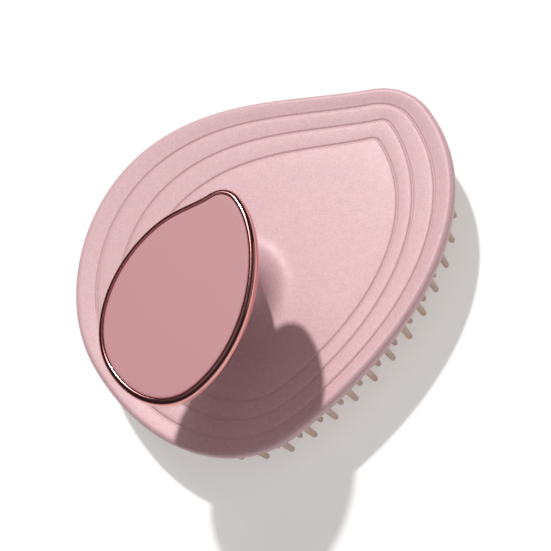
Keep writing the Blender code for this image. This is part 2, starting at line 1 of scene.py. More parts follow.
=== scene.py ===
"""The looks of a hand-held scalp massage brush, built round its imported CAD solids.

Sizes are in millimetres until a point is laid on a mesh. Outlines are drawn round the axis of the
stem's neck, with the tip of the drop towards +X, and each loft is one circle extruded from outline
to outline, so every outline of a family has the same number of points.
"""

import logging
import math
from dataclasses import dataclass, field
from enum import Enum
from typing import Dict, List, Optional, Sequence, Tuple

import bmesh
import bpy
from mathutils import Matrix, Vector

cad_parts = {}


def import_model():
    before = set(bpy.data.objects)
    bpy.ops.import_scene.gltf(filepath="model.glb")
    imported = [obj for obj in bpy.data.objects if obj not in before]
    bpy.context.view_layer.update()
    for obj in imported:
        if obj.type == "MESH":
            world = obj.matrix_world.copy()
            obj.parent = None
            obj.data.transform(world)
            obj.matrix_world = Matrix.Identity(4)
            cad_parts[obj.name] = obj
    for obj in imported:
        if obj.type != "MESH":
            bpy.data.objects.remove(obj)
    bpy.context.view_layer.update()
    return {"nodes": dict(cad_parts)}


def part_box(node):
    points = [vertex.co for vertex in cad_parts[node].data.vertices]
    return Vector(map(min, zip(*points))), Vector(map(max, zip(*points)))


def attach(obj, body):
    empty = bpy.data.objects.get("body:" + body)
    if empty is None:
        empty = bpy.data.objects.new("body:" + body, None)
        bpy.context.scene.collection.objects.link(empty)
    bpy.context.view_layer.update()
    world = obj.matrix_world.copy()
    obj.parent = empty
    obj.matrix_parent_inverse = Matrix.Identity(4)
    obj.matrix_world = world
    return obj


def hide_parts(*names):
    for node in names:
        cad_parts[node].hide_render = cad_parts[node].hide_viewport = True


LOG = logging.getLogger("scalp_brush")
ROOT = "root"
MM = 0.001              # metres in a millimetre
GAP = 0.3               # clearance between pieces that fit together, in millimetres

GRID = 9                # decimals, in metres, that a laid point is rounded to
MATCH = 7               # decimals by which an extruded point is found again
WELD = 1e-6             # metres below which two points of a closed loft are one
SMOOTH = 40.0           # degrees below which two faces are shaded as one surface

# How far the handles of an outline's curves reach, as shares
LEFT_PULL = 0.53        # of the way between the left and the far anchor
NEAR_PULL = 0.56        # of the way from the near anchor across to the left one
LEFT_RETURN = 0.6       # of the way from the near anchor up to the left one
FLANK_PULL = 0.8        # of the handle at the flank's other end
TIP_PULL = 0.62         # of the tip's rounding
SHARPEST = 0.5          # least number that a corner's offset is divided by

CLOUD_OCTAVES = 4.0     # detail of a finish's slow change of colour
GRAIN_OCTAVES = 3.0     # detail of its grain and its haze
TURNED_WAVER = 1.5      # distortion of the turned lines

Point = Tuple[float, float]
Loop = List[Vector]
Ring = Tuple[Loop, float]
Colour = Tuple[float, float, float]
Nodes = bpy.types.Nodes
Links = bpy.types.NodeLinks
Socket = bpy.types.NodeSocket


class Detail(Enum):
    """How many points each stretch of an outline has: left, far flank, tip, near flank, end."""

    SOLID = (11, 9, 5, 9, 10)
    FINE = (58, 56, 26, 52, 56)


class Grain(Enum):
    """The small-scale pattern of a finish."""

    PEARL = "flakes under a clear coat"
    MOULDED = "fine spark-eroded texture"
    RUBBER = "soft dull skin"
    TURNED = "fine lines round the axis"
    CELLS = "open foam cells"
    PLATED = "polished plating with faint haze"


# ---------------------------------------------------------------------------------------- outlines


@dataclass(frozen=True)
class Drop:
    """A drop outline: three round anchors, the corner its flanks aim at and that corner's round."""

    left: Point
    far: Point
    near: Point
    tip: Point
    far_slope: float
    near_slope: float
    rounding: float
    far_fullness: float
    near_fullness: float

    def outline(self, detail: Detail) -> Loop:
        """Clockwise points of the drop, seen from above.

        Args:
            detail: how many points each stretch has.

        Returns:
            The points, without a repeated end.
        """
        left, far, near, tip = (Vector(p) for p in (self.left, self.far, self.near, self.tip))
        across, along = Vector((1, 0)), Vector((0, 1))
        far_way, near_way = heading(self.far_slope), heading(self.near_slope)
        tip_far = tip - far_way * self.rounding
        tip_near = tip + near_way * self.rounding
        far_pull = (tip_far - far).length * self.far_fullness
        near_pull = (tip_near - near).length * self.near_fullness
        count = detail.value
        points = bezier(left, left + along * (far.y - left.y) * LEFT_PULL,
                        far - across * (far.x - left.x) * LEFT_PULL, far, count[0])
        points += bezier(far, far + across * far_pull,
                         tip_far - far_way * far_pull * FLANK_PULL, tip_far, count[1])
        points += bezier(tip_far, tip_far + far_way * self.rounding * TIP_PULL,
                         tip_near - near_way * self.rounding * TIP_PULL, tip_near, count[2])
        points += bezier(tip_near, tip_near + near_way * near_pull * FLANK_PULL,
                         near + across * near_pull, near, count[3])
        points += bezier(near, near - across * (near.x - left.x) * NEAR_PULL,
                         left - along * (left.y - near.y) * LEFT_RETURN, left, count[4])
        return points


def stepped(anchor: Point, step: Point, line: int) -> Point:
    """An anchor's place on one contour line, moved inwards by a step for each line."""
    return (anchor[0] + step[0] * line, anchor[1] + step[1] * line)


def heading(degrees: float) -> Vector:
    """A unit vector at an angle from +X."""
    return Vector((math.cos(math.radians(degrees)), math.sin(math.radians(degrees))))


def bezier(start: Vector, start_pull: Vector, end_pull: Vector, end: Vector,
           count: int) -> Loop:
    """Points on a cubic curve, without its last point.

    Args:
        start: where the curve starts.
        start_pull: the start's handle.
        end_pull: the end's handle.
        end: where the curve ends.
        count: how many points.

    Returns:
        The points, evenly spaced in the curve's own parameter.
    """
    points = []
    for step in range(count):
        t = step / count
        points.append(start * (1 - t) ** 3 + start_pull * 3 * t * (1 - t) ** 2
                      + end_pull * 3 * t * t * (1 - t) + end * t ** 3)
    return points


def grown(loop: Loop, distance: float) -> Loop:
    """The outline moved outwards, or inwards when the distance is negative.

    Args:
        loop: the outline, clockwise.
        distance: how far each side moves.

    Returns:
        The moved points, one for each of the outline's.
    """
    moved = []
    for index, point in enumerate(loop):
        before = (point - loop[index - 1]).normalized()
        after = (loop[(index + 1) % len(loop)] - point).normalized()
        way = (before + after).normalized()
        stretch = max(SHARPEST, math.sqrt((1 + before.dot(after)) / 2))
        moved.append(point + Vector((-way.y, way.x)) * distance / stretch)
    return moved


def ring(loop: Loop, radius: float) -> Loop:
    """A circle round the stem's axis with a point in line with each point of the outline."""
    return [point.normalized() * radius for point in loop]


def between(first: Loop, second: Loop, share: float) -> Loop:
    """The outline part of the way from one outline to another."""
    return [a.lerp(b, share) for a, b in zip(first, second)]


def circle(radius: float, count: int) -> Loop:
    """A plain circle round the stem's axis."""
    return [heading(-360 * step / count) * radius for step in range(count)]


def flatted(loop: Loop, limit: float) -> Loop:
    """The outline cut off flat at X = limit."""
    return [Vector((min(point.x, limit), point.y)) for point in loop]


def spaced(loop: Loop, pitch: Optional[float] = None, count: Optional[int] = None,
           phase: float = 0.0) -> Loop:
    """Evenly spaced points along a closed outline.

    Args:
        loop: the outline.
        pitch: the wanted distance, where no count is given.
        count: how many points.
        phase: how far the first point is moved on, in steps.

    Returns:
        The points in the outline's own direction.
    """
    sides = [(loop[(i + 1) % len(loop)] - loop[i]).length for i in range(len(loop))]
    total = sum(sides)
    number = count or round(total / (pitch or 1.0))
    places = []
    for step in range(number):
        target = total * ((step + phase) / number)
        index = 0
        while target > sides[index]:
            target -= sides[index]
            index += 1
        places.append(loop[index].lerp(loop[(index + 1) % len(loop)], target / sides[index]))
    return places


def edge_distance(point: Vector, loop: Loop) -> float:
    """Signed distance of a point from an outline.

    Args:
        point: the point.
        loop: the outline.

    Returns:
        The distance, positive inside.
    """
    nearest = math.inf
    inside = False
    for index, start in enumerate(loop):
        end = loop[(index + 1) % len(loop)]
        side = end - start
        share = max(0.0, min(1.0, (point - start).dot(side) / side.length_squared))
        nearest = min(nearest, (point - start - side * share).length)
        if (start.y > point.y) != (end.y > point.y):
            if point.x < start.x + side.x * (point.y - start.y) / side.y:
                inside = not inside
    return nearest if inside else -nearest


# ----------------------------------------------------------------------------------- mesh handling


def deselect() -> None:
    """Leave every object unselected."""
    for item in bpy.context.selected_objects:
        item.select_set(False)


def pick(item: bpy.types.Object) -> None:
    """Select one object alone and make it active."""
    deselect()
    item.select_set(True)
    bpy.context.view_layer.objects.active = item


def rounded(point: Sequence[float], digits: int) -> Tuple[float, ...]:
    """A point's coordinates rounded to a number of decimals."""
    return tuple(round(value, digits) for value in point)


def lay(item: bpy.types.Object, previous: Sequence[Vector], following: Sequence[Vector]) -> None:
    """Move the selected points of an extruded loop from one ring's places to the next one's.

    Args:
        item: the object in edit mode.
        previous: where the points are.
        following: where each goes.
    """
    mesh = bmesh.from_edit_mesh(item.data)
    places = {rounded(point, MATCH): index for index, point in enumerate(previous)}
    for vert in mesh.verts:
        if vert.select:
            vert.co = following[places[rounded(vert.co, MATCH)]]
    bmesh.update_edit_mesh(item.data)


def loft(name: str, rings: Sequence[Ring], place: Vector, closed: bool) -> bpy.types.Object:
    """Extrude a circle from ring to ring.

    Args:
        name: name of the new object.
        rings: outlines in millimetres with their heights.
        place: the stem axis's place in the frame, in metres.
        closed: whether the last ring joins the first; otherwise both get an end face.

    Returns:
        The new object at the origin.
    """
    laid = [[Vector(rounded(Vector((p.x * MM + place.x, p.y * MM + place.y, height * MM)), GRID))
             for p in loop] for loop, height in rings]
    if closed:
        laid.append(laid[0])
    deselect()
    bpy.ops.mesh.primitive_circle_add(vertices=len(laid[0]), radius=1.0, location=(0, 0, 0))
    item = bpy.context.object
    item.name = name
    item.data.name = name
    for vert, point in zip(item.data.vertices, laid[0]):
        vert.co = point
    bpy.ops.object.mode_set(mode="EDIT")
    bpy.ops.mesh.select_all(action="SELECT")
    if not closed:
        bpy.ops.mesh.edge_face_add()
        only_boundary(item)
    for previous, following in zip(laid, laid[1:]):
        bpy.ops.mesh.extrude_edges_move()
        lay(item, previous, following)
    if closed:
        bpy.ops.mesh.select_all(action="SELECT")
        bpy.ops.mesh.remove_doubles(threshold=WELD)
    else:
        bpy.ops.mesh.edge_face_add()
    bpy.ops.mesh.select_all(action="SELECT")
    bpy.ops.mesh.normals_make_consistent(inside=False)
    bpy.ops.object.mode_set(mode="OBJECT")
    return item


def only_boundary(item: bpy.types.Object) -> None:
    """Select the edges of the single face of an object in edit mode, but not the face."""
    bpy.ops.mesh.select_mode(type="EDGE")
    mesh = bmesh.from_edit_mesh(item.data)
    for face in mesh.faces:
        face.select = False
    for edge in mesh.edges:
        edge.select = True
    bmesh.update_edit_mesh(item.data)


def smooth(item: bpy.types.Object, degrees: float = SMOOTH) -> None:
    """Shade an object smooth where its faces meet at less than an angle.

    Args:
        item: the object.
        degrees: the angle.
    """
    pick(item)
    bpy.ops.object.shade_smooth_by_angle(angle=math.radians(degrees))


def joined(name: str, items: Sequence[bpy.types.Object]) -> bpy.types.Object:
    """Join objects into the first one.

    Args:
        name: the joined object's name.
        items: the objects.

    Returns:
        The first object, which now holds all the meshes.
    """
    pick(items[0])
    for item in items:
        item.select_set(True)
    bpy.ops.object.join()
    items[0].name = name
    return items[0]


def copied(item: bpy.types.Object, offset: Vector) -> bpy.types.Object:
    """A copy with its own mesh, moved in the mesh itself.

    Args:
        item: the object to copy.
        offset: how far the mesh moves, in metres.

    Returns:
        The copy, with its own origin at the origin.
    """
    twin = item.copy()
    twin.data = item.data.copy()
    twin.data.transform(Matrix.Translation(offset))
    bpy.context.scene.collection.objects.link(twin)
    return twin


# ---------------------------------------------------------------------------------------- finishes


@dataclass(frozen=True)
class Finish:
    """A surface finish: its colours, its gloss and the grain on top of them."""

    name: str
    colour: Colour
    second: Colour
    roughness: float
    grain: Grain
    metallic: float = 0.0
    coat: float = 0.0
    coat_roughness: float = 0.1
    sheen: float = 0.0
    subsurface: float = 0.0
    cloud_scale: float = 30.0
    grain_scale: float = 1500.0
    grain_height: float = 0.00002
    roughness_swing: float = 0.05
    specular: float = 0.5
    haze_share: float = 0.2
    flake_share: float = 0.9
    flake_swing: float = 0.06
    bleed: Colour = (0.0018, 0.0011, 0.0007)

    def material(self) -> bpy.types.Material:
        """The finish as a node material, made once."""
        found = bpy.data.materials.get(self.name)
        if found:
            return found
        material = bpy.data.materials.new(self.name)
        material.use_nodes = True
        nodes, links = material.node_tree.nodes, material.node_tree.links
        shader = nodes["Principled BSDF"]
        place = nodes.new("ShaderNodeTexCoord").outputs["Object"]
        self.set_sockets(shader)
        clouds = self.noise(nodes, links, place, self.cloud_scale, CLOUD_OCTAVES)
        tint = self.mix(nodes, links, clouds, self.colour, self.second)
        height = self.relief(nodes, links, place)
        if self.grain is Grain.PEARL:
            tint = self.flakes(nodes, links, place, tint)
        links.new(tint, shader.inputs["Base Color"])
        haze = self.noise(nodes, links, place, self.grain_scale * self.haze_share,
                          GRAIN_OCTAVES)
        span = nodes.new("ShaderNodeMapRange")
        span.inputs["To Min"].default_value = self.roughness - self.roughness_swing
        span.inputs["To Max"].default_value = self.roughness + self.roughness_swing
        links.new(haze, span.inputs["Value"])
        links.new(span.outputs["Result"], shader.inputs["Roughness"])
        bump = nodes.new("ShaderNodeBump")
        bump.inputs["Strength"].default_value = 1.0
        bump.inputs["Distance"].default_value = self.grain_height
        links.new(height, bump.inputs["Height"])
        links.new(bump.outputs["Normal"], shader.inputs["Normal"])
        return material

    def set_sockets(self, shader: bpy.types.Node) -> None:
        """Set the values that are the same all over the surface."""
        shader.inputs["Metallic"].default_value = self.metallic
        shader.inputs["Coat Weight"].default_value = self.coat
        shader.inputs["Coat Roughness"].default_value = self.coat_roughness
        shader.inputs["Sheen Weight"].default_value = self.sheen
        shader.inputs["Specular IOR Level"].default_value = self.specular
        if self.subsurface:
            shader.inputs["Subsurface Weight"].default_value = self.subsurface
            shader.inputs["Subsurface Radius"].default_value = self.bleed
            shader.inputs["Subsurface Scale"].default_value = 1.0

    def noise(self, nodes: Nodes, links: Links, place: Socket, scale: float,
              detail: float) -> Socket:
        """A noise value over the piece.

        Args:
            nodes: the material's nodes.
            links: the material's links.
            place: socket with the point.
            scale: cells per metre.
            detail: octaves.

        Returns:
            The noise's value socket.
        """
        node = nodes.new("ShaderNodeTexNoise")
        node.inputs["Scale"].default_value = scale
        node.inputs["Detail"].default_value = detail
        links.new(place, node.inputs["Vector"])
        return node.outputs["Fac"]

    def mix(self, nodes: Nodes, links: Links, factor: Socket, first: Colour,
            second: Colour) -> Socket:
        """Blend two colours.

        Args:
            nodes: the material's nodes.
            links: the material's links.
            factor: socket with the share of the second colour.
            first: the first colour.
            second: the second colour.

        Returns:
            The blended colour's socket.
        """
        node = nodes.new("ShaderNodeMix")
        node.data_type = "RGBA"
        node.inputs[6].default_value = (*first, 1.0)
        node.inputs[7].default_value = (*second, 1.0)
        links.new(factor, node.inputs[0])
        return node.outputs[2]

    def relief(self, nodes: Nodes, links: Links, place: Socket) -> Socket:
        """Height of the grain.

        Args:
            nodes: the material's nodes.
            links: the material's links.
            place: socket with the point.

        Returns:
            The height's socket.
        """
        if self.grain in (Grain.PEARL, Grain.CELLS):
            node = nodes.new("ShaderNodeTexVoronoi")
            node.inputs["Scale"].default_value = self.grain_scale
            links.new(place, node.inputs["Vector"])
            return node.outputs["Distance"]
        if self.grain is Grain.TURNED:
            node = nodes.new("ShaderNodeTexWave")
            node.bands_direction = "Z"
            node.inputs["Scale"].default_value = self.grain_scale
            node.inputs["Distortion"].default_value = TURNED_WAVER
            links.new(place, node.inputs["Vector"])
            return node.outputs["Fac"]
        return self.noise(nodes, links, place, self.grain_scale, GRAIN_OCTAVES)

    def flakes(self, nodes: Nodes, links: Links, place: Socket, tint: Socket) -> Socket:
        """Scattered pearl flakes a little lighter and darker than the paint.

        Args:
            nodes: the material's nodes.
            links: the material's links.
            place: socket with the point.
            tint: socket with the paint's colour.

        Returns:
            The flecked colour's socket.
        """
        cells = nodes.new("ShaderNodeTexVoronoi")
        cells.inputs["Scale"].default_value = self.grain_scale * self.flake_share
        links.new(place, cells.inputs["Vector"])
        value = nodes.new("ShaderNodeSeparateColor")
        links.new(cells.outputs["Color"], value.inputs["Color"])
        span = nodes.new("ShaderNodeMapRange")
        span.inputs["To Min"].default_value = 1.0 - self.flake_swing
        span.inputs["To Max"].default_value = 1.0 + self.flake_swing
        links.new(value.outputs["Red"], span.inputs["Value"])
        shade = nodes.new("ShaderNodeVectorMath")
        shade.operation = "SCALE"
        links.new(tint, shade.inputs[0])
        links.new(span.outputs["Result"], shade.inputs["Scale"])
        return shade.outputs["Vector"]


PEARL_PINK = Finish("pearl_pink_paint", (0.598, 0.380, 0.408), (0.622, 0.400, 0.428), 0.50,
                    Grain.PEARL, metallic=0.05, coat=0.10, coat_roughness=0.34, specular=0.42,
                    cloud_scale=26.0, grain_scale=2600.0, grain_height=0.00002,
                    roughness_swing=0.05)
ROSE_GOLD = Finish("rose_gold_plating", (0.700, 0.310, 0.300), (0.660, 0.285, 0.275), 0.10,
                   Grain.PLATED, metallic=1.0, cloud_scale=45.0, grain_scale=700.0,
                   grain_height=0.000001, roughness_swing=0.025)
MAUVE = Finish("soft_touch_mauve", (0.515, 0.250, 0.268), (0.530, 0.262, 0.280), 0.55,
               Grain.MOULDED, cloud_scale=40.0, grain_scale=5200.0, grain_height=0.000008,
               roughness_swing=0.04, specular=0.35)
SILICONE = Finish("beige_silicone_skin", (0.610, 0.440, 0.350), (0.660, 0.490, 0.400), 0.5,
                  Grain.RUBBER, subsurface=0.25, cloud_scale=60.0, grain_scale=1800.0,
                  grain_height=0.00001, roughness_swing=0.07, sheen=0.05)
PLASTIC = Finish("uncoated_base_plastic", (0.600, 0.430, 0.410), (0.640, 0.470, 0.450), 0.48,
                 Grain.MOULDED, cloud_scale=30.0, grain_scale=2600.0, grain_height=0.000015)
RUBBER = Finish("black_seal_rubber", (0.020, 0.019, 0.018), (0.034, 0.032, 0.030), 0.7,
                Grain.RUBBER, cloud_scale=90.0, grain_scale=2200.0, grain_height=0.00002)
FOAM = Finish("white_foam_tape", (0.74, 0.73, 0.70), (0.62, 0.61, 0.58), 0.9, Grain.CELLS,
              cloud_scale=120.0, grain_scale=3000.0, grain_height=0.00006)
STEEL = Finish("stainless_screw_steel", (0.56, 0.56, 0.55), (0.62, 0.62, 0.61), 0.28,
               Grain.TURNED, metallic=1.0, cloud_scale=80.0, grain_scale=900.0,
               grain_height=0.000004)
BRASS = Finish("turned_insert_brass", (0.73, 0.51, 0.22), (0.79, 0.57, 0.27), 0.3, Grain.TURNED,
               metallic=1.0, cloud_scale=80.0, grain_scale=900.0, grain_height=0.000004)


def dress(item: bpy.types.Object, finish: Finish) -> None:
    """Give an object one finish all over."""
    item.data.materials.clear()
    item.data.materials.append(finish.material())


# ---------------------------------------------------------------------------------- sub-assemblies

# A contour line's section: how far across from its middle, and how deep, as shares
GROOVE_SECTION = ((-1.0, 0.0), (-0.72, 0.06), (-0.5, 0.27), (-0.2, 0.86), (0.0, 1.0),
                  (0.2, 0.86), (0.5, 0.27), (0.72, 0.06), (1.0, 0.0))
# The rim's lower lip: how far inwards from its outside, and how far up from its lowest point
RIM_LIP = ((0.02, 0.9), (0.1, 0.42), (0.28, 0.14), (0.55, 0.0), (1.5, 0.0), (1.74, 0.06))
# The plated ring's lower edge, inwards and up, and its inner lip, outwards and down
RING_FOOT = ((0.35, 0.0), (0.1, 0.12), (0.0, 0.4))
RING_LIP = ((0.22, 0.0), (0.06, 0.06), (0.0, 0.25))
# A bristle's rounded tip, and the lower edge of its pad: radius or inwards, and up
BRISTLE_TIP = ((0.16, 0.0), (0.46, 0.09), (0.66, 0.32))
PAD_EDGE = ((0.45, 0.0), (0.13, 0.13), (0.0, 0.45))
# A bristle's fillet where it meets the pad: outwards from its root and up from the pad
BRISTLE_FILLET = ((-0.1, -0.8), (0.0, -0.25), (0.2, 0.1))


@dataclass
class Body:
    """The shell with its contour lines and stem, in millimetres from the neck's axis."""

    left: Point = (-42.1, 7.3)
    far: Point = (1.9, 52.8)
    near: Point = (-7.3, -41.5)
    tip: Point = (67.9, 16.8)
    left_step: Point = (5.4, -1.85)
    far_step: Point = (1.3, -7.0)
    near_step: Point = (1.25, 4.15)
    tip_step: Point = (-5.05, -2.35)
    far_slope: float = -33.6
    near_slope: float = -92.8
    slope_step: float = 1.2
    far_fullness: float = 0.37
    near_fullness: float = 0.44
    roundings: Tuple[float, ...] = (9.6, 7.0, 2.2, 1.8)
    lines: int = 3
    wall: float = 1.8
    under: float = 15.0
    dish: float = 1.2
    rim_height: float = 3.2
    rim_radius: float = 1.3
    line_depth: float = 0.30
    line_reach: float = 0.66
    crown: float = 0.06
    band_steps: int = 6
    inset: float = 0.06
    rim_turn: int = 10
    rim_bevel: float = 0.3
    rim_shoulder: float = 0.5
    foot_radius: float = 17.5
    foot_shares: Tuple[float, ...] = (0.25, 0.5, 0.75)
    neck_radius: float = 8.4
    neck_bevel: float = 0.2
    flare: float = 9.0
    flare_power: float = 3.2
    flare_steps: int = 26
    under_steps: int = 6
    neck_top: float = 36.0
    stem_wall: float = 2.0
    bore: float = 2.3
    spigot_radius: float = 5.5
    spigot_depth: float = 2.7
    spigot_cut: float = 0.9
    seal_section: float = 0.42
    seal_rise: float = 0.2
    outlines: List[Loop] = field(default_factory=list)
    middle: Vector = field(default_factory=lambda: Vector((0, 0)))

    def __post_init__(self) -> None:
        """Draw the outlines and find the shell's middle."""
        coarse = self.drop(0).outline(Detail.SOLID)
        self.middle = Vector(((max(p.x for p in coarse) + min(p.x for p in coarse)) / 2,
                              (max(p.y for p in coarse) + min(p.y for p in coarse)) / 2))
        self.outlines = [self.drop(line).outline(Detail.FINE) for line in range(self.lines + 1)]

    @property
    def top(self) -> float:
        """Height of the shell's top at its middle."""
        return self.under + self.wall

    @property
    def rim_top(self) -> float:
        """Height of the top of the rim."""
        return self.top + self.dish

    @property
    def place(self) -> Vector:
        """The neck's axis in the frame, in metres."""
        low, high = (Vector(corner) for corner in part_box("upper_shell"))
        centre = (low + high) / 2
        return Vector((centre.x - self.middle.x * MM, centre.y - self.middle.y * MM, 0))

    def drop(self, line: int) -> Drop:
        """The shell's outline for line 0, and its contour lines inwards from there."""
        return Drop(left=stepped(self.left, self.left_step, line),
                    far=stepped(self.far, self.far_step, line),
                    near=stepped(self.near, self.near_step, line),
                    tip=stepped(self.tip, self.tip_step, line),
                    far_slope=self.far_slope + self.slope_step * line,
                    near_slope=self.near_slope - self.slope_step * line,
                    rounding=self.roundings[line],
                    far_fullness=self.far_fullness, near_fullness=self.near_fullness)

    def height(self, line: float) -> float:
        """Height of the dished top at a contour line, which may be a fraction."""
        share = 1 - line / (self.lines + 1)
        return self.top + self.dish * share * share

    def flare_rings(self, wall: float, steps: int) -> List[Ring]:
        """The stem's trumpet foot from the shell to its neck.

        Args:
            wall: how far it is moved inwards.
            steps: how many steps the curve has.

        Returns:
            The rings, from the foot up.
        """
        rings = []
        reach = self.foot_radius - self.neck_radius
        for index in range(steps + 1):
            turn = math.radians(90.0 * index / steps)
            climb = math.sin(turn)
            radius = self.foot_radius - reach * climb
            remaining = math.sqrt(max(0.0, 1 - climb ** self.flare_power))
            height = self.top + self.flare * (1 - remaining)
            rings.append((ring(self.outlines[self.lines], radius - wall * climb),
                          height - wall * math.cos(turn)))
        return rings

    def groove_rings(self, line: int) -> List[Ring]:
        """One engraved contour line, with soft shoulders and a narrow floor."""
        height = self.height(line)
        return [(grown(self.outlines[line], reach * self.line_reach),
                 height - self.line_depth * depth) for reach, depth in GROOVE_SECTION]

    def band_rings(self, line: int) -> List[Ring]:
        """The crowned band outside a contour line."""
        inner = grown(self.outlines[line], self.line_reach)
        outer_gap = -self.line_reach if line > 1 else -self.rim_radius
        outer = grown(self.outlines[line - 1], outer_gap)
        rings = []
        for step in range(1, self.band_steps):
            share = step / self.band_steps
            crown = self.crown * math.sin(math.pi * share)
            rings.append((between(inner, outer, share), self.height(line - share) + crown))
        return rings

    def rim_rings(self) -> List[Ring]:
        """The rolled rim, from the top over the edge to the shell's inner wall."""
        edge = grown(self.outlines[0], -self.inset)
        bottom = self.rim_top - self.rim_height
        rings = []
        for degrees in range(0, 91, self.rim_turn):
            turn = math.radians(degrees)
            rings.append((grown(edge, -self.rim_radius * (1 - math.sin(turn))),
                          self.rim_top - self.rim_radius * (1 - math.cos(turn))))
        rings += [(grown(edge, -inward), bottom + up) for inward, up in RIM_LIP]
        inner = grown(self.outlines[0], -self.wall)
        rings += [(inner, bottom + self.rim_bevel),
                  (inner, self.rim_top - self.wall - self.rim_bevel),
                  (grown(self.outlines[0], -self.wall - self.rim_shoulder),
                   self.rim_top - self.wall)]
        return rings

    def neck_rings(self) -> List[Ring]:
        """The recess for the knob's spigot, the screw's bore and the seal's groove."""
        loop = self.outlines[self.lines]
        recess_floor = self.neck_top + GAP - self.spigot_depth - GAP
        ceiling = recess_floor - self.stem_wall
        spigot = self.spigot_radius + GAP
        recess = flatted(ring(loop, spigot), self.spigot_radius - self.spigot_cut + GAP)
        seal = (spigot + self.neck_radius) / 2
        groove = self.seal_section + GAP
        floor = self.neck_top - 2 * groove + self.seal_rise
        bore = ring(loop, self.bore)
        inside, outside = ring(loop, seal - groove), ring(loop, seal + groove)
        return [(ring(loop, self.neck_radius - self.stem_wall), ceiling), (bore, ceiling),
                (bore, recess_floor), (recess, recess_floor), (recess, self.neck_top),
                (inside, self.neck_top), (inside, floor), (outside, floor),
                (outside, self.neck_top)]

    def shell(self) -> bpy.types.Object:
        """The pearl shell with its rim, lines and stem."""
        loop = self.outlines[self.lines]
        rings = [(ring(loop, self.neck_radius - self.neck_bevel), self.neck_top),
                 (ring(loop, self.neck_radius), self.neck_top - self.neck_bevel)]
        rings += reversed(self.flare_rings(0.0, self.flare_steps))
        foot = ring(loop, self.foot_radius)
        inner = grown(loop, -self.line_reach)
        climb = self.height(self.lines) - self.top
        rings += [(between(foot, inner, share), self.top + climb * share ** 2)
                  for share in self.foot_shares]
        for line in range(self.lines, 0, -1):
            rings += self.groove_rings(line)
            rings += self.band_rings(line)
        rings += self.rim_rings()
        rings += [(self.outlines[line], self.height(line) - self.wall)
                  for line in range(1, self.lines + 1)]
        rings += self.flare_rings(self.wall, self.under_steps)
        rings += self.neck_rings()
        item = loft("shell", rings, self.place, closed=True)
        smooth(item)
        dress(item, PEARL_PINK)
        return item


